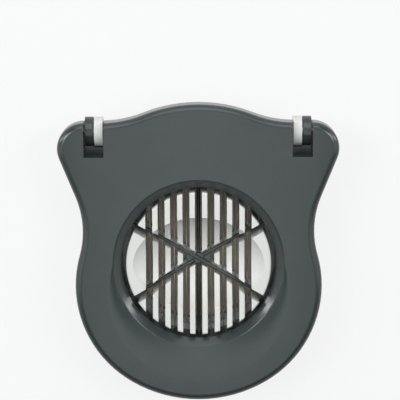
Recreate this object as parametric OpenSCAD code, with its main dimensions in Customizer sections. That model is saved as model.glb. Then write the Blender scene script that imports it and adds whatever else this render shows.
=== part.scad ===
// Egg slicer with three leaves on one hinge line: a base with a slotted egg cradle, a slicing
// frame strung with parallel wires, and a wedging frame strung with crossed wires.
// Built around the cradle's upright centre line; +Y runs to the hinge, +Z up.

/* [Outline] */
// Radius of the round sides
hip_r = 52.2; // [50.5:0.1:54]
// Sideways offset of each side arc's centre
hip_x = 3.9; // [2:0.1:5]
// How far the side arcs' centres lie in front of the cradle centre
hip_front = 10.5; // [8:0.1:13]
// How much larger the front edge's radius is than that of the sides
front_flat = 7.6; // [6:0.1:10]
// Direction from a side arc's centre in which the waist meets it, in degrees
waist_angle = 16; // [12:0.5:20]
// Length of the straight flank between the waist and an ear
flank_length = 18.8; // [14:0.1:22]
// Radius of the ears at the hinge
ear_r = 11.8; // [10.5:0.1:13]
// How far the ears' centres lie inside the widest line of the sides
ear_in = 4.4; // [3:0.1:6]
// Distance of the ears' centres behind the cradle centre
ear_y = 52.8; // [50:0.1:55]
// Length of the straight edge between an ear and the hollow shoulder
shoulder_flat = 8; // [6:0.1:10]
// Radius of the crown between the hinge knuckles
crown_r = 67.8; // [64:0.1:72]
// Rise of the crown behind the ears
crown_rise = 8.3; // [7:0.1:9.5]

/* [Heights] */
// Height of the base's deck
deck_z = 8; // [7:0.1:9]
// Height of the slicing frame's top face
slice_top = 17.6; // [16.5:0.1:19]
// Height of the wedging frame's top face
top_z = 30; // [29:0.1:33]
// Depth of the cradle's rim below the wedging frame's top face
rim_drop = 2; // [1:0.1:3]
// Air between one leaf and the next
leaf_gap = 0.4; // [0.3:0.05:0.8]

/* [Walls] */
// Thickness of skirts and walls
wall = 2.2; // [1.6:0.1:2.6]
// Thickness of the base's deck and of the slicing frame's top plate
plate = 2.4; // [2.2:0.1:3]
// Thickness of the wedging frame's top plate
top_plate = 3.4; // [3.2:0.1:3.8]
// Inset of the base's outline from the wedging frame's
base_inset = 4; // [2.5:0.1:6]
// Inset of the slicing frame's outline from the wedging frame's
slice_inset = 2; // [1:0.1:3]
// Rounding of the wedging frame's top edge
top_round = 3; // [1.5:0.1:3.4]
// Rounding of the slicing frame's top edge
slice_round = 1.2; // [0.6:0.1:2]
// Rounding of the base's deck edge
base_round = 1.6; // [0.8:0.1:2.4]

/* [Egg cradle] */
// Radius of the cradle's round tower
tower_r = 33; // [32.3:0.1:33.2]
// Rounding of the tower's rim
rim_round = 0.9; // [0.4:0.1:1.2]
// Width of the rim at the ends of the egg hollow
rim_width = 3.15; // [2.5:0.05:5]
// Width of the egg hollow at the rim
hollow_width = 42.7; // [38:0.1:46]
// Depth of the egg hollow
hollow_depth = 13.2; // [11.5:0.1:13.4]
// Number of slicing wires, an odd number so that one runs down the middle
wire_count = 9; // [5:2:9]
// Distance from one slicing wire to the next
wire_pitch = 5.63; // [5:0.01:5.8]
// Width of the slots for the slicing wires
slot_width = 3.2; // [2.4:0.1:3.6]
// Width of the crossed grooves for the wedging wires
groove_width = 3.8; // [3.2:0.1:4.6]
// Direction of the crossed grooves from the hinge line, in degrees
groove_angle = 30; // [28:0.5:32]
// Depth of the slots and grooves below the slicing wires
wire_room = 3.8; // [3:0.1:3.8]
// Height of the crossed ribs that tie the slats together
rib_height = 3.6; // [2.6:0.1:3.8]
// Width of the crossed ribs
rib_width = 2; // [1.6:0.1:2.4]

/* [Wires] */
// Diameter of the slicing wires
slice_wire_d = 0.6; // [0.4:0.05:0.8]
// Diameter of the wedging wires
wedge_wire_d = 1.6; // [1.2:0.05:1.7]
// Diameter of the beads on the slicing wires' ends
slice_bead_d = 1.5; // [1.3:0.05:1.6]
// Diameter of the beads on the wedging wires' ends
wedge_bead_d = 2.2; // [2:0.05:2.3]
// Length of the beads on the wire ends
bead_length = 1.2; // [0.8:0.1:1.6]
// Radius of the hub's core, where the wedging wires cross
hub_r = 2.4; // [2:0.1:2.4]
// Height of the hub's core
hub_t = 3; // [2.4:0.1:3.2]
// Reach of the hub's two wings
wing_reach = 5.8; // [4.6:0.1:6]
// Thickness of the hub's wings
wing_t = 1.2; // [0.8:0.1:1.4]
// Air between the ends of the hub's wings and the cradle
wing_air = 0.5; // [0.4:0.1:0.8]
// Air around a wire or bead in its seat
seat_gap = 0.05; // [0.03:0.01:0.1]

/* [Collars] */
// Air between the cradle and the wedging frame's collar
rim_air = 2; // [1.8:0.05:2.3]
// Radial thickness of the wedging frame's collar
collar_wall = 3.2; // [2.8:0.1:3.4]
// Width of the sloping lip around the opening
lip_width = 3.3; // [2.8:0.1:3.6]
// Drop of the sloping lip
lip_drop = 3.1; // [2.6:0.05:3.2]
// Width of the rounded edge outside the lip
lip_round = 1; // [0.6:0.1:1.6]
// Drop of the rounded edge outside the lip
lip_sink = 0.3; // [0.15:0.05:0.35]
// Extra width of that edge in front, where it opens into a shallow dip
dip_width = 17; // [12:0.5:18]
// Extra drop of that edge in front
dip_drop = 1.5; // [1:0.05:1.5]
// How much wider the slicing frame's wire flange is than the collar's bore
flange_step = 1.2; // [1:0.05:1.6]
// Thickness of the slicing frame's wire flange
flange_t = 1; // [0.8:0.05:1.1]
// Swing room between the collars
collar_gap = 0.8; // [0.7:0.05:1.2]
// Air between the collar's foot and the wire flange
flange_air = 0.35; // [0.3:0.05:0.5]
// Thickness of the slicing wires' retaining ring
slice_ring_t = 1.4; // [1.2:0.05:1.5]
// Thickness of the wedging wires' retaining ring
wedge_ring_t = 1.9; // [1.75:0.05:2]
// Recess of the slicing wires' retaining ring in the frame
ring_recess = 0.2; // [0.1:0.05:0.4]

/* [Hinge] */
// Distance of the hinge line behind the ears' centres
hinge_back = 7.1; // [6.3:0.1:7.5]
// Height of the hinge line
hinge_z = 20; // [19.5:0.1:20.5]
// Radius of the hinge knuckles
knuckle_r = 6.7; // [5.5:0.1:6.9]
// Diameter of the hinge pins
pin_d = 3; // [2:0.1:4]
// Radial air between a pin and a knuckle that turns on it
pin_gap = 0.08; // [0.04:0.01:0.1]
// Radial air between a pin and the lugs that hold it
lug_gap = 0.02; // [0.01:0.01:0.05]
// Distance from each ear's centre in to the inner side of its notch
notch_in = 9.2; // [8.4:0.1:10]
// Width of the base's knuckles
base_knuckle = 3.9; // [3:0.1:4.2]
// Width of the slicing frame's knuckles
slice_knuckle = 3.8; // [3:0.1:4.2]
// Side air between one knuckle and the next
knuckle_gap = 0.4; // [0.3:0.05:0.6]
// Thickness of the pin lugs beside each notch
lug_wall = 3; // [2.4:0.1:3.6]
// Radius of the pin lugs
lug_r = 4.2; // [3.6:0.1:5]
// Clear length of each notch in front of its knuckles
notch_front = 4; // [3:0.1:6]

/* [Hidden] */
$fn = 96;
eps = 0.01;
past = 5;

// Colours
dark_plastic = [0.31, 0.34, 0.34];
white_plastic = [0.93, 0.93, 0.91];
steel = [0.72, 0.72, 0.7];
dark_steel = [0.36, 0.38, 0.37];

// Centres and radii of the outline's arcs, right half
hip_c = [hip_x, -hip_front];
front_r = hip_r + front_flat;
front_c = [0, -hip_front + sqrt(pow(front_flat, 2) - pow(hip_x, 2))];
ear_x = hip_x + hip_r - ear_in;
ear_c = [ear_x, ear_y];

// The waist is tangent to the side arc and to the straight flank that is tangent to the ear
waist_way = hip_c + hip_r * unit(waist_angle) - ear_c;
waist_r = (waist_way * waist_way - pow(ear_r, 2) - pow(flank_length, 2))
    / (2 * (ear_r - waist_way * unit(waist_angle)));
waist_c = hip_c + (hip_r + waist_r) * unit(waist_angle);

// The hollow shoulder is tangent to the crown and to the straight edge behind the ear
shoulder_x = ear_x - shoulder_flat;
shoulder_r = (pow(shoulder_x, 2) + pow(crown_rise, 2)) / (2 * crown_rise) - crown_r;
shoulder_c = [shoulder_x, ear_y + ear_r + shoulder_r];
crown_back = ear_y + ear_r + crown_rise;
crown_c = [0, crown_back - crown_r];

// Directions in which neighbouring arcs meet
front_end = heading(hip_c - front_c);
flank = heading(waist_c - ear_c) + acos((ear_r + waist_r) / norm(waist_c - ear_c));
crown_start = heading(shoulder_c - crown_c);
arc_step = 4;
ear_step = 7;

// The row's origin lies under the middle of the whole outline
front_y = front_c.y - front_r;
middle_y = (crown_back + front_y) / 2;

// Levels
slice_bottom = deck_z + leaf_gap;
wedge_bottom = slice_top + leaf_gap;
rim_z = top_z - rim_drop;
slice_wire_z = slice_bottom + ring_recess + slice_ring_t;
wedge_wire_z = slice_wire_z + flange_t + flange_air + wedge_ring_t;
slot_floor = slice_wire_z - wire_room;
rib_bottom = slot_floor - rib_height;
round_rings = 6;

// Hinge stations along X, from the inner side of a notch outwards
notch_x = ear_x - notch_in;
base_knuckle_x = notch_x + knuckle_gap;
slice_knuckle_x = base_knuckle_x + base_knuckle + knuckle_gap;
notch_end_x = slice_knuckle_x + slice_knuckle + knuckle_gap;
hinge_y = ear_y + hinge_back;
notch_y = hinge_y - knuckle_r - notch_front;
swing_gap = 0.8;
slice_back_y = hinge_y - knuckle_r - swing_gap;

// The crown swings under the hinge line: its farthest reach sets the base's back edge
crown_reach = norm([crown_back - top_round - hinge_y, top_z - top_round - hinge_z]) + top_round;
deck_drop = hinge_z - deck_z;
base_back_y = hinge_y - swing_gap - sqrt(max(pow(crown_reach, 2) - pow(deck_drop, 2), 0));

// The egg hollow is a body of revolution about an axis along X, above the rim
hollow_length = 2 * (tower_r - rim_width);
hollow_r = (pow(hollow_width / 2, 2) + pow(hollow_depth, 2)) / (2 * hollow_depth);
hollow_lift = hollow_r - hollow_depth;
hollow_z = rim_z + hollow_lift;
hollow_arc_c = (pow(hollow_length / 2, 2) + pow(hollow_lift, 2) - pow(hollow_r, 2))
    / (2 * (hollow_r - hollow_lift));
hollow_arc_r = hollow_arc_c + hollow_r;

// Slots, collars and wire anchors
slot_edge_x = (wire_count - 1) / 2 * wire_pitch + slot_width / 2;
tower_bore = tower_r - wall;
collar_r = tower_r + rim_air;
flange_r = collar_r + flange_step;
opening_r = collar_r + collar_wall + collar_gap;
slice_collar_r = opening_r + wall;
slice_bead_r = (flange_r + slice_collar_r) / 2;
wedge_bead_r = collar_r + collar_wall / 2;
wedge_wire_angles = [90, groove_angle, -groove_angle];
wedge_wire_step = wedge_wire_d + seat_gap;

// The lip's outline around the opening, in steps
lip_r = collar_r + lip_width;
lip_points = 96;
lip_rings = 8;
lip_past = 1;
skim = 0.02;

// The heel of a base knuckle's arm leaves the knuckle at this angle below the hinge line
heel_angle = 30;

function unit(a) = [cos(a), sin(a)];
function heading(v) = atan2(v.y, v.x);
function slot_x(i) = (i - (wire_count + 1) / 2) * wire_pitch;

// Points of an arc; the last one is left out where the next arc starts on it
function arc(c, r, from, to, step, last = false) =
    let (n = ceil(abs(to - from) / step))
    [for (i = [0:last ? n : n - 1]) c + r * unit(from + (to - from) * i / n)];
function right_half(d) = concat(
    arc(front_c, front_r - d, -90, front_end, arc_step),
    arc(hip_c, hip_r - d, front_end, waist_angle, arc_step),
    arc(waist_c, waist_r + d, waist_angle + 180, flank + 180, arc_step, true),
    arc(ear_c, ear_r - d, flank, 90, ear_step, true),
    arc(shoulder_c, shoulder_r + d, -90, crown_start - 180, arc_step),
    arc(crown_c, crown_r - d, crown_start, 90, arc_step, true)
);
// The whole outline, moved inwards by d
function outline(d) =
    let (half = right_half(d), last = len(half) - 1)
    concat(half, [for (i = [last - 1:-1:1]) [-half[i].x, half[i].y]]);

// Moves a piece from the cradle's centre line to the row's origin
module placed() {
    translate([0, -middle_y, 0]) children();
}

// Repeats a piece on the other side of the middle
module both_sides() {
    children();
    mirror([1, 0, 0]) children();
}

module outline_block(inset, bottom, top) {
    translate([0, 0, bottom]) linear_extrude(top - bottom) polygon(outline(inset));
}

// A slab of the outline's shape with a rounded top edge
module rounded_slab(inset, bottom, top, round) {
    steps = [for (i = [1:round_rings]) 90 * i / round_rings];
    levels = concat(
        [[0, bottom], [0, top - round]],
        [for (a = steps) [round * (1 - cos(a)), top - round + round * sin(a)]]
    );
    rings = [for (level = levels) outline(inset + level[0])];
    n = len(rings[0]);
    points = [for (k = [0:len(levels) - 1]) for (p = rings[k]) [p.x, p.y, levels[k][1]]];
    top_ring = n * (len(levels) - 1);
    sides = [
        for (k = [0:len(levels) - 2])
            for (i = [0:n - 1])
                [k * n + i, (k + 1) * n + i, (k + 1) * n + (i + 1) % n, k * n + (i + 1) % n]
    ];
    polyhedron(
        points,
        concat([[for (i = [0:n - 1]) i]], sides, [[for (i = [n - 1:-1:0]) top_ring + i]])
    );
}

// A box between two corners
module box(low, high) {
    translate(low) cube(high - low);
}

// A tube or disc about the cradle's centre line
module ring(outer, inner, bottom, top) {
    translate([0, 0, bottom]) difference() {
        cylinder(r = outer, h = top - bottom);
        translate([0, 0, -past]) cylinder(r = inner, h = top - bottom + 2 * past);
    }
}

// A disc along the hinge line, from one distance from the middle to another
module hinge_disc(r, from, to) {
    translate([from, hinge_y, hinge_z]) rotate([0, 90, 0]) cylinder(r = r, h = to - from);
}

// A plate across the hinge line, drawn as [Y, Z] points measured from that line
module hinge_plate(points, from, width) {
    translate([from, hinge_y, hinge_z]) rotate([90, 0, 90]) linear_extrude(width) polygon(points);
}

// The body of revolution that the egg hollow is cut with, larger all round by more
module egg_shape(more = 0) {
    reach = hollow_arc_r + more;
    translate([0, 0, hollow_z]) rotate([0, 90, 0]) rotate_extrude() intersection() {
        translate([-hollow_arc_c, 0]) circle(reach);
        translate([0, -reach]) square([reach, 2 * reach]);
    }
}

module slots(bottom, top) {
    for (i = [1:wire_count])
        box([slot_x(i) - slot_width / 2, -tower_r - past, bottom],
            [slot_x(i) + slot_width / 2, tower_r + past, top]);
}

// The two crossed bands that the grooves are cut with and the tie ribs are made of
module cross_bands(width, bottom, top, reach) {
    for (a = [groove_angle, -groove_angle])
        rotate([0, 0, a]) box([-reach, -width / 2, bottom], [reach, width / 2, top]);
}

// The sector between the crossed grooves on each side of the middle
module wing_sector(reach, bottom, top) {
    corner = 2 * reach * unit(groove_angle);
    translate([0, 0, bottom]) intersection() {
        cylinder(r = reach, h = top - bottom);
        both_sides() linear_extrude(top - bottom)
            polygon([[0, 0], corner, [corner.x, -corner.y]]);
    }
}

// The cradle: a round tower with the egg hollow, the wire slots and the crossed grooves
module cradle_tower() {
    difference() {
        rotate_extrude() union() {
            square([tower_r - rim_round, rim_z]);
            square([tower_r, rim_z - rim_round]);
            translate([tower_r - rim_round, rim_z - rim_round]) circle(rim_round);
        }
        egg_shape();
        slots(slot_floor, rim_z + past);
        cross_bands(groove_width, slot_floor, rim_z + past, tower_r + past);
        wing_sector(wing_reach + wing_air, slot_floor, rim_z);
        translate([0, 0, -past]) cylinder(r = tower_bore, h = rib_bottom + past);
        slot_bottoms();
        both_sides() rim_pocket();
    }
}

// The openings between the ribs, below the slots' floor
module slot_bottoms() {
    difference() {
        intersection() {
            slots(rib_bottom - eps, slot_floor + eps);
            translate([0, 0, -past]) cylinder(r = tower_bore, h = rim_z);
        }
        cross_bands(rib_width, rib_bottom - past, slot_floor + past, tower_r);
    }
}

// The space under the cradle's end, beside the outermost slot
module rim_pocket() {
    inner = slot_edge_x + wall;
    reach = inner * tan(groove_angle) - groove_width / 2 / cos(groove_angle) - wall;
    difference() {
        intersection() {
            box([inner, -reach, -past], [tower_r, reach, rim_z - wall]);
            translate([0, 0, -past]) cylinder(r = tower_bore, h = rim_z + past);
        }
        egg_shape(wall);
    }
}

module base_knuckle_arm() {
    ear_back = ear_y + ear_r - base_inset - hinge_y;
    heel = knuckle_r * unit(-heel_angle);
    difference() {
        union() {
            hinge_disc(knuckle_r, base_knuckle_x, base_knuckle_x + base_knuckle);
            hinge_plate(
                [[-knuckle_r, 0], [-knuckle_r, -hinge_z], [ear_back, -hinge_z],
                 [ear_back, -deck_drop], heel, [0, 0]],
                base_knuckle_x, base_knuckle
            );
        }
        hinge_disc(pin_d / 2 + pin_gap, notch_x, notch_end_x);
    }
}

module base() {
    color(white_plastic) placed() {
        difference() {
            rounded_slab(base_inset, 0, deck_z, base_round);
            box([-base_knuckle_x, base_back_y, -past], [base_knuckle_x, crown_back, top_z]);
            difference() {
                outline_block(base_inset + wall, -past, deck_z - plate);
                box([-base_knuckle_x - wall, base_back_y - wall, -past],
                    [base_knuckle_x + wall, crown_back, top_z]);
            }
            translate([0, 0, -past]) cylinder(r = tower_r - eps, h = top_z);
        }
        cradle_tower();
        both_sides() base_knuckle_arm();
    }
}

module slice_knuckle_arm() {
    low = slice_wire_z - hinge_z;
    high = slice_top - hinge_z;
    root = slice_back_y - wall - hinge_y;
    hinge_disc(knuckle_r, slice_knuckle_x, slice_knuckle_x + slice_knuckle);
    hinge_plate(
        [[root, high], [root, low], [-knuckle_r - swing_gap, low], [0, -knuckle_r], [0, high]],
        slice_knuckle_x, slice_knuckle
    );
}

module slice_frame() {
    color(dark_plastic) placed() difference() {
        union() {
            difference() {
                rounded_slab(slice_inset, slice_bottom, slice_top, slice_round);
                box([-ear_x - ear_r, slice_back_y, 0], [ear_x + ear_r, crown_back, top_z]);
                difference() {
                    outline_block(slice_inset + wall, slice_bottom - past, slice_top - plate);
                    box([-ear_x - ear_r, slice_back_y - wall, 0],
                        [ear_x + ear_r, crown_back, top_z]);
                }
            }
            ring(slice_collar_r, flange_r, slice_wire_z, slice_top);
            both_sides() slice_knuckle_arm();
        }
        translate([0, 0, slice_wire_z + flange_t]) cylinder(r = opening_r, h = top_z);
        translate([0, 0, slice_bottom - past]) cylinder(r = flange_r, h = top_z);
        ring_space = slice_wire_z - slice_bottom + past;
        translate([0, 0, slice_bottom - past]) cylinder(r = slice_collar_r, h = ring_space);
        both_sides() hinge_disc(pin_d / 2 + pin_gap, notch_x, notch_end_x);
        for (i = [1:wire_count]) slice_wire_shape(i, seat_gap);
    }
}

// One slicing wire with a bead on each end, larger all round by more
module slice_wire_shape(i, more = 0) {
    x = slot_x(i);
    half = sqrt(pow(slice_bead_r, 2) - pow(x, 2));
    translate([x, 0, slice_wire_z]) rotate([90, 0, 0]) {
        cylinder(d = slice_wire_d + 2 * more, h = 2 * half, center = true);
        for (end = [-half, half])
            translate([0, 0, end])
                cylinder(d = slice_bead_d + 2 * more, h = bead_length + 2 * more, center = true);
    }
}

module slice_wire(i) {
    color(steel) placed() slice_wire_shape(i);
}

module slice_wire_ring() {
    color(dark_plastic) placed() difference() {
        ring(slice_collar_r, flange_r, slice_wire_z - slice_ring_t, slice_wire_z);
        for (i = [1:wire_count]) slice_wire_shape(i, seat_gap);
    }
}

// The wall round a hinge notch
module notch_walls() {
    box([notch_x - lug_wall, notch_y - lug_wall, wedge_bottom],
        [notch_end_x + lug_wall, crown_back, top_z - top_plate + eps]);
}

module lugs() {
    hinge_disc(lug_r, notch_x - lug_wall, notch_x);
    hinge_disc(lug_r, notch_end_x, notch_end_x + lug_wall);
}

// Cross-section of the lip in one direction: [radius, height over the top face], going outwards.
// Outside the lip the edge is rounded; towards the front it widens into the shallow dip.
function lip_section(a) =
    let (front = max(0, -sin(a)),
         reach = lip_round + dip_width * front,
         drop = lip_sink + dip_drop * front)
    concat(
        [[collar_r - lip_past, -drop - lip_drop * (lip_width + lip_past) / lip_width]],
        [for (k = [0:lip_rings])
            [lip_r + reach * k / lip_rings, skim - (drop + skim) * pow(1 - k / lip_rings, 2)]],
        [[lip_r + reach, past]]
    );

// What is cut away above the lip and the dip
module lip_cut() {
    n = lip_points;
    sections = [for (i = [0:n - 1]) lip_section(360 * i / n)];
    rings = len(sections[0]);
    points = [
        for (k = [0:rings - 1])
            for (i = [0:n - 1])
                let (p = sections[i][k]) [p.x * cos(360 * i / n), p.x * sin(360 * i / n), p.y]
    ];
    sides = [
        for (k = [0:rings - 2])
            for (i = [0:n - 1])
                let (a = k * n + i, b = k * n + (i + 1) % n)
                each [[a, a + n, b + n], [a, b + n, b]]
    ];
    foot = [for (i = [0:n - 1]) [rings * n, i, (i + 1) % n]];
    lid = [[for (i = [n - 1:-1:0]) (rings - 1) * n + i]];
    translate([0, 0, top_z])
        polyhedron(concat(points, [[0, 0, -past]]), concat(sides, foot, lid));
}

module wedge_frame() {
    color(dark_plastic) placed() difference() {
        union() {
            difference() {
                rounded_slab(0, wedge_bottom, top_z, top_round);
                difference() {
                    outline_block(wall, wedge_bottom - past, top_z - top_plate);
                    both_sides() notch_walls();
                }
            }
            both_sides() lugs();
            ring(collar_r + collar_wall, collar_r - eps, wedge_wire_z, top_z - top_plate + eps);
        }
        both_sides()
            box([notch_x, notch_y, -past], [notch_end_x, crown_back, top_z + past]);
        both_sides()
            hinge_disc(pin_d / 2 + lug_gap, notch_x - lug_wall - past, notch_end_x + lug_wall + past);
        translate([0, 0, wedge_wire_z - past]) cylinder(r = collar_r, h = top_z);
        lip_cut();
        for (i = [1:3]) wedge_wire_shape(i, seat_gap);
    }
}

// A straight rod across the cradle's centre line, or an arc that bows up or down in the middle
module bowed_rod(d, half, bow) {
    bend_r = bow == 0 ? 0 : (pow(half, 2) + pow(bow, 2)) / (2 * abs(bow));
    if (bow == 0) {
        rotate([0, 90, 0]) cylinder(d = d, h = 2 * half, center = true);
    } else {
        spread = asin(half / bend_r);
        rotate([sign(bow) * 90, 0, 0]) translate([0, abs(bow) - bend_r, 0])
            rotate([0, 0, 90 - spread]) rotate_extrude(angle = 2 * spread, $fn = 1440)
                translate([bend_r, 0]) circle(d = d, $fn = 32);
    }
}

// One wedging wire: it bows up or down a little where the three cross
module wedge_wire_shape(i, more = 0) {
    bow = (i - 2) * wedge_wire_step;
    rotate([0, 0, wedge_wire_angles[i - 1]]) translate([0, 0, wedge_wire_z]) {
        bowed_rod(wedge_wire_d + 2 * more, wedge_bead_r, bow);
        for (end = [-wedge_bead_r, wedge_bead_r])
            translate([end, 0, 0]) rotate([0, 90, 0])
                cylinder(d = wedge_bead_d + 2 * more, h = bead_length + 2 * more, center = true);
    }
}

module wedge_wire(i) {
    color(dark_steel) placed() wedge_wire_shape(i);
}

// The clip that holds the wedging wires where they cross, with a wing on each side of the middle
module wedge_hub() {
    color(dark_plastic) placed() difference() {
        union() {
            translate([0, 0, wedge_wire_z]) cylinder(r = hub_r, h = hub_t, center = true);
            wing_sector(wing_reach, wedge_wire_z - wing_t / 2, wedge_wire_z + wing_t / 2);
        }
        for (i = [1:3]) wedge_wire_shape(i, seat_gap);
    }
}

module wedge_wire_ring() {
    color(dark_plastic) placed() difference() {
        ring(collar_r + collar_wall, collar_r, wedge_wire_z - wedge_ring_t, wedge_wire_z);
        for (i = [1:3]) wedge_wire_shape(i, seat_gap);
    }
}

module hinge_pin(side) {
    reach = lug_wall - seat_gap;
    color(steel) placed() mirror([side < 0 ? 1 : 0, 0, 0])
        hinge_disc(pin_d / 2, notch_x - reach, notch_end_x + reach);
}

base();
slice_frame();
slice_wire_ring();
for (i = [1:wire_count])
    slice_wire(i);
wedge_frame();
wedge_wire_ring();
for (i = [1:3])
    wedge_wire(i);
wedge_hub();
hinge_pin(-1);  // hinge_pin_left
hinge_pin(1);  // hinge_pin_right
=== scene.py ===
import math

import bpy
from mathutils import Matrix, Vector


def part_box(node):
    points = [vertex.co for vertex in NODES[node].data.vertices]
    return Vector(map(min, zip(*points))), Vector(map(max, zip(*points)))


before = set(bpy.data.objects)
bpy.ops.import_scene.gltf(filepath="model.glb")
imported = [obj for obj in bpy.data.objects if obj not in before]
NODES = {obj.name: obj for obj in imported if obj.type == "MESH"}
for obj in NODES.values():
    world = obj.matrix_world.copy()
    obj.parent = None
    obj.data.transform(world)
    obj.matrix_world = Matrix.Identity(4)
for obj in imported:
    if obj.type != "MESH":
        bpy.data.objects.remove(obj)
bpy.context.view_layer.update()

MM = 0.001

# Places that the frame gives, in metres
RING_LOW, RING_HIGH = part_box("wedge_wire_ring")
DISH = Vector(((RING_LOW.x + RING_HIGH.x) / 2, (RING_LOW.y + RING_HIGH.y) / 2, 0))
TOP_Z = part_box("wedge_frame")[1].z

# Camera: long lens, almost straight down, leaning towards the hinge side
CAMERA_TILT = math.radians(10)
CAMERA_ROLL = math.radians(-0.24)
CAMERA_DISTANCE = 0.8
CAMERA_CLIP = 0.01
FRAME_WIDTH = 0.18
AIM_FROM_DISH = Vector((0.73 * MM, 29.9 * MM, 0))
SENSOR = 36.0

# Shading of the CAD meshes
WELD = 0.001 * MM
SHARP_ANGLE = math.radians(28)
BEVEL_SAMPLES = 8

# Colours, linear
DARK = (0.028, 0.035, 0.035)
WHITE = (0.61, 0.60, 0.575)
STEEL = (0.60, 0.60, 0.58)
COATED = (0.045, 0.050, 0.047)
PAPER = (0.58, 0.58, 0.58)
# Painted shade: the warm brown floor colour under the cradle stands in for the shade seen through
# its slots
UNDER_PAINTED_SHADE = (0.83, 0.71, 0.57)
PLAIN = (1.0, 1.0, 1.0)
COOL = (0.93, 1.0, 1.0)

# Moulded plastic: noise scales per metre, and how far the gloss strays
CLOUD_SCALE, CLOUD_DETAIL = 45, 3
GLOSS_SCALE, GLOSS_DETAIL = 160, 5
GLOSS_SPREAD = 0.04
GRAIN_SCALE, GRAIN_DETAIL = 2600, 2
WAVE_SCALE, WAVE_DETAIL = 90, 2
WAVE_TO_GRAIN = 2

# Drawn steel: its streaks and how they vary colour, gloss and height
STREAK_SCALE, STREAK_DETAIL = 900, 4
STREAK_SHADES = (0.75, 1.15)
STREAK_ROUGHNESS = (0.18, 0.38)
STREAK_DEPTH = 0.004 * MM
ALONG_Y = (1, 0.03, 1)
ALONG_X = (0.05, 1, 1)

# Stage
FLOOR_REACH = 6
WALL_HEIGHT = 2
FLOOR_GLOW = 0.82
FLOOR_ROUGHNESS = 0.7
PAPER_SCALE, PAPER_DETAIL = 3, 2
PAPER_SHADE = 0.985
# Painted shade and painted glow: within this radius of the dish the floor is warm brown, with
# tone noise and a faint glow, in place of the shade seen through the slots
PAINTED_SHADE_RADIUS = 31 * MM
PAINTED_GLOW = 0.035
PAINTED_SHADE_SCALE, PAINTED_SHADE_DETAIL = 60, 3
PAINTED_SHADE_TONES = (0.8, 1.2)
WORLD = 0.05
LAMP_DISTANCE = 1.3

# Lamps: name, azimuth and elevation in degrees, half angles in degrees, radiance, colour
LAMPS = (
    ("back", 90, 41, (20, 22), 2.46, PLAIN),
    ("back_high", 90, 72, (6, 7), 1.39, COOL),
    ("overhead", 269, 83, (8.5, 17), 1.8, COOL),
    ("back_left", 155, 58, (6, 9), 13.12, COOL),
    ("back_left_low", 153, 35, (7, 14), 4.1, COOL),
    ("back_right", 25, 58, (6, 9), 10.66, COOL),
    ("back_right_low", 27, 35, (7, 14), 3.44, COOL),
    ("side_left", 187, 43, (11, 27), 1.39, COOL),
    ("side_right", -4, 43, (10, 27), 1.23, COOL),
    ("low_left", 161, 11, (4, 8), 14.76, PLAIN),
    ("low_right", 19, 11, (4, 8), 12.3, PLAIN),
)


# ---------------------------------------------------------------- materials

class Nodes:
    """A new material with a Principled shader, and short calls for adding nodes to it."""

    def __init__(self, name):
        self.material = bpy.data.materials.new(name)
        self.material.use_nodes = True
        self.tree = self.material.node_tree
        self.shader = self.tree.nodes["Principled BSDF"]

    def add(self, kind, **values):
        node = self.tree.nodes.new(kind)
        for key, value in values.items():
            setattr(node, key, value)
        return node

    def link(self, out, into):
        self.tree.links.new(out, into)

    def set(self, **values):
        for key, value in values.items():
            self.shader.inputs[key].default_value = value

    def coordinates(self, stretch):
        place = self.add("ShaderNodeTexCoord")
        mapping = self.add("ShaderNodeMapping")
        mapping.inputs["Scale"].default_value = stretch
        self.link(place.outputs["Object"], mapping.inputs["Vector"])
        return mapping.outputs["Vector"]

    def noise(self, scale, detail, stretch=(1, 1, 1)):
        node = self.add("ShaderNodeTexNoise")
        node.inputs["Scale"].default_value = scale
        node.inputs["Detail"].default_value = detail
        self.link(self.coordinates(stretch), node.inputs["Vector"])
        return node.outputs["Fac"]

    def ramp(self, source, low, high, start=0.35, end=0.65):
        node = self.add("ShaderNodeValToRGB")
        for element, place, colour in zip(node.color_ramp.elements, (start, end), (low, high)):
            element.position = place
            element.color = tuple(colour) + (1,)
        self.link(source, node.inputs["Fac"])
        return node.outputs["Color"]

    def range(self, source, low, high):
        node = self.add("ShaderNodeMapRange")
        node.inputs["To Min"].default_value = low
        node.inputs["To Max"].default_value = high
        self.link(source, node.inputs["Value"])
        return node.outputs["Result"]

    def feed(self, term, socket):
        """Give a socket its term: another socket's value, or a constant."""
        if isinstance(term, bpy.types.NodeSocket):
            self.link(term, socket)
        else:
            socket.default_value = term

    def math(self, operation, *terms, **values):
        node = self.add("ShaderNodeMath", operation=operation, **values)
        for term, socket in zip(terms, node.inputs):
            self.feed(term, socket)
        return node.outputs["Value"]

    def blend(self, factor, first, second):
        """A mix of two colours: the first where the factor is 0, the second where it is 1."""
        node = self.add("ShaderNodeMix", data_type="RGBA")
        for key, term in zip(("Factor", "A", "B"), (factor, first, second)):
            self.feed(term, node.inputs[key])
        return node.outputs["Result"]

    def bump(self, layers, edge=None):
        """Chained bumps, each of a height and a depth in metres, over softened edges."""
        normal = None
        if edge:
            bevel = self.add("ShaderNodeBevel", samples=BEVEL_SAMPLES)
            bevel.inputs["Radius"].default_value = edge
            normal = bevel.outputs["Normal"]
        for source, depth in layers:
            node = self.add("ShaderNodeBump")
            node.inputs["Strength"].default_value = 1.0
            node.inputs["Distance"].default_value = depth
            self.link(source, node.inputs["Height"])
            if normal:
                self.link(normal, node.inputs["Normal"])
            normal = node.outputs["Normal"]
        self.link(normal, self.shader.inputs["Normal"])


def shade(colour, factor):
    return tuple(c * factor for c in colour)


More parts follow.
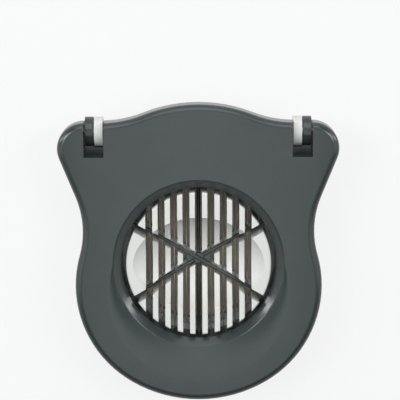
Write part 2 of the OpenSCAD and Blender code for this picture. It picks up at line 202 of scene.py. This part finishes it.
def moulded_plastic(name, colour, spread, gloss, grain, edge):
    """Moulded plastic: faint cloudiness, a fine satin grain and slightly uneven gloss."""
    n = Nodes(name)
    cloud = n.noise(CLOUD_SCALE, CLOUD_DETAIL)
    tint = n.ramp(cloud, shade(colour, 1 - spread), shade(colour, 1 + spread))
    n.link(tint, n.shader.inputs["Base Color"])
    uneven = n.noise(GLOSS_SCALE, GLOSS_DETAIL)
    rough = n.range(uneven, gloss - GLOSS_SPREAD, gloss + GLOSS_SPREAD)
    n.link(rough, n.shader.inputs["Roughness"])
    n.bump([
        (n.noise(GRAIN_SCALE, GRAIN_DETAIL), grain),
        (n.noise(WAVE_SCALE, WAVE_DETAIL), grain * WAVE_TO_GRAIN),
    ], edge)
    return n.material


def drawn_steel(name, colour, along):
    """Drawn steel: fine scratches along the wire."""
    n = Nodes(name)
    streaks = n.noise(STREAK_SCALE, STREAK_DETAIL, along)
    tint = n.ramp(streaks, *(shade(colour, factor) for factor in STREAK_SHADES))
    n.link(tint, n.shader.inputs["Base Color"])
    n.link(n.range(streaks, *STREAK_ROUGHNESS), n.shader.inputs["Roughness"])
    n.bump([(streaks, STREAK_DEPTH)])
    n.set(Metallic=1.0)
    return n.material


# ---------------------------------------------------------------- stage, light and camera

def way_to(azimuth, elevation):
    a, e = math.radians(azimuth), math.radians(elevation)
    return Vector((math.cos(a) * math.cos(e), math.sin(a) * math.cos(e), math.sin(e)))


def softbox(name, azimuth, elevation, half_angles, radiance, colour):
    """A rectangular light that faces the object, sized by how much of the sky it fills."""
    data = bpy.data.lights.new(name, "AREA")
    data.shape = "RECTANGLE"
    data.size, data.size_y = (
        2 * LAMP_DISTANCE * math.tan(math.radians(a)) for a in half_angles
    )
    data.energy = radiance * math.pi * data.size * data.size_y
    data.color = colour
    lamp = bpy.data.objects.new(name, data)
    bpy.context.scene.collection.objects.link(lamp)
    way = way_to(azimuth, elevation)
    lamp.location = Vector((0, 0, TOP_Z)) + way * LAMP_DISTANCE
    lamp.rotation_euler = (-way).to_track_quat("-Z", "Y").to_euler()


def build_world():
    world = bpy.data.worlds.new("studio")
    bpy.context.scene.world = world
    world.use_nodes = True
    sky = world.node_tree.nodes["Background"]
    sky.inputs["Color"].default_value = (1, 1, 1, 1)
    sky.inputs["Strength"].default_value = WORLD


def seen_rays(n):
    """1 for rays from the camera, off gloss and metal, and through glass, which see the glow."""
    path = n.add("ShaderNodeLightPath")
    seen = path.outputs["Is Camera Ray"]
    for kind in ("Is Glossy Ray", "Is Transmission Ray"):
        seen = n.math("ADD", seen, path.outputs[kind], use_clamp=True)
    return seen


def build_floor():
    """A pale paper floor with a low wall around it, far off, as the backdrop.

    It keeps the object's shadow. Inside the cradle's tower, where it shows through the
    slots, the floor carries painted shade: a warm brown patch with a faint painted glow, standing
    in for the shaded inside.
    """
    mesh = bpy.data.meshes.new("floor")
    square = [(-1, -1), (1, -1), (1, 1), (-1, 1)]
    corners = [(x * FLOOR_REACH, y * FLOOR_REACH, z) for z in (0, WALL_HEIGHT) for x, y in square]
    walls = [(i, i + 4, (i + 1) % 4 + 4, (i + 1) % 4) for i in range(4)]
    mesh.from_pydata(corners, [], [(0, 1, 2, 3)] + walls)
    floor = bpy.data.objects.new("floor", mesh)
    bpy.context.scene.collection.objects.link(floor)

    n = Nodes("floor")
    paper = n.ramp(n.noise(PAPER_SCALE, PAPER_DETAIL), shade(PAPER, PAPER_SHADE), PAPER)
    place = n.add("ShaderNodeTexCoord")
    from_dish = n.add("ShaderNodeVectorMath", operation="DISTANCE")
    n.link(place.outputs["Object"], from_dish.inputs[0])
    from_dish.inputs[1].default_value = DISH
    # Painted shade: inside this circle under the cradle the floor takes a warm brown colour
    painted_shade_mask = n.math("LESS_THAN", from_dish.outputs["Value"], PAINTED_SHADE_RADIUS)
    painted_shade_noise = n.noise(PAINTED_SHADE_SCALE, PAINTED_SHADE_DETAIL)
    painted_shade = n.ramp(painted_shade_noise, *(shade(UNDER_PAINTED_SHADE, factor) for factor in PAINTED_SHADE_TONES))
    n.link(n.blend(painted_shade_mask, paper, painted_shade), n.shader.inputs["Base Color"])
    n.set(Roughness=FLOOR_ROUGHNESS)

    # Glow: the evenly bright backdrop for camera, glossy and transmission rays, and under the
    # cradle a faint painted glow
    backdrop_and_painted_glow = n.math("MULTIPLY_ADD", painted_shade_mask, PAINTED_GLOW - FLOOR_GLOW, FLOOR_GLOW)
    share = n.math("MULTIPLY", backdrop_and_painted_glow, seen_rays(n))
    tint = n.blend(painted_shade_mask, (1, 1, 1, 1), painted_shade)
    light = n.add("ShaderNodeEmission")
    n.link(tint, light.inputs["Color"])
    blend = n.add("ShaderNodeMixShader")
    n.link(share, blend.inputs[0])
    n.link(n.shader.outputs["BSDF"], blend.inputs[1])
    n.link(light.outputs["Emission"], blend.inputs[2])
    n.link(blend.outputs["Shader"], n.tree.nodes["Material Output"].inputs["Surface"])
    mesh.materials.append(n.material)


def build_camera():
    aim = DISH + AIM_FROM_DISH + Vector((0, 0, TOP_Z))
    back = Vector((0, math.sin(CAMERA_TILT), math.cos(CAMERA_TILT)))
    level_up = Vector((0, math.cos(CAMERA_TILT), -math.sin(CAMERA_TILT)))
    level_right = Vector((1, 0, 0))
    c, s = math.cos(CAMERA_ROLL), math.sin(CAMERA_ROLL)
    right = level_right * c + level_up * s
    up = level_up * c - level_right * s
    data = bpy.data.cameras.new("camera")
    data.sensor_width = SENSOR
    data.lens = SENSOR * CAMERA_DISTANCE / FRAME_WIDTH
    data.clip_start = CAMERA_CLIP
    camera = bpy.data.objects.new("camera", data)
    bpy.context.scene.collection.objects.link(camera)
    axes = Matrix((right, up, back)).transposed().to_4x4()
    camera.matrix_world = Matrix.Translation(aim + back * CAMERA_DISTANCE) @ axes
    bpy.context.scene.camera = camera


# ---------------------------------------------------------------- the object

def smoothing():
    """Geometry nodes that shade a CAD node's mesh smooth, and keep its sharp edges sharp."""
    group = bpy.data.node_groups.new("smooth_by_angle", "GeometryNodeTree")
    for way in ("INPUT", "OUTPUT"):
        group.interface.new_socket("Geometry", in_out=way, socket_type="NodeSocketGeometry")

    def add(kind, **values):
        node = group.nodes.new(kind)
        for key, value in values.items():
            setattr(node, key, value)
        return node

    start, end = add("NodeGroupInput"), add("NodeGroupOutput")
    plain = add("GeometryNodeRemoveAttribute")
    plain.inputs["Name"].default_value = "custom_normal"
    weld = add("GeometryNodeMergeByDistance")
    weld.inputs["Distance"].default_value = WELD
    faces = add("GeometryNodeSetShadeSmooth", domain="FACE")
    edges = add("GeometryNodeSetShadeSmooth", domain="EDGE")
    edges.inputs["Shade Smooth"].default_value = False
    angle = add("GeometryNodeInputMeshEdgeAngle")
    sharp = add("FunctionNodeCompare", data_type="FLOAT", operation="GREATER_THAN")
    sharp.inputs["B"].default_value = SHARP_ANGLE
    chain = [start, plain, weld, faces, edges, end]
    for before, after in zip(chain, chain[1:]):
        group.links.new(before.outputs["Geometry"], after.inputs["Geometry"])
    group.links.new(angle.outputs["Unsigned Angle"], sharp.inputs["A"])
    group.links.new(sharp.outputs["Result"], edges.inputs["Selection"])
    return group


def dress_nodes():
    """Give each CAD node its material, by the start of its name, and smooth its shading."""
    dark = moulded_plastic("dark_plastic", DARK, 0.04, 0.23, 0.001 * MM, 0.6 * MM)
    white = moulded_plastic("white_plastic", WHITE, 0.015, 0.38, 0.0015 * MM, 0.3 * MM)
    coated = moulded_plastic("coated_steel", COATED, 0.05, 0.25, 0.001 * MM, 0.1 * MM)
    wire = drawn_steel("wire_steel", STEEL, ALONG_Y)
    pin = drawn_steel("pin_steel", STEEL, ALONG_X)
    materials = {
        "base": white,
        "slice_frame": dark,
        "slice_wire_ring": dark,
        "slice_wire": wire,
        "wedge_frame": dark,
        "wedge_wire_ring": dark,
        "wedge_wire": coated,
        "wedge_hub": dark,
        "hinge_pin": pin,
    }
    smooth = smoothing()
    for name, node in NODES.items():
        start = next(key for key in materials if name.startswith(key))
        node.data.materials.clear()
        node.data.materials.append(materials[start])
        node.modifiers.new("smooth", "NODES").node_group = smooth
        node.modifiers.new("flat", "WEIGHTED_NORMAL").keep_sharp = True


build_world()
for lamp in LAMPS:
    softbox(*lamp)
build_floor()
build_camera()
dress_nodes()

scene = bpy.context.scene
scene.view_settings.view_transform = "Standard"
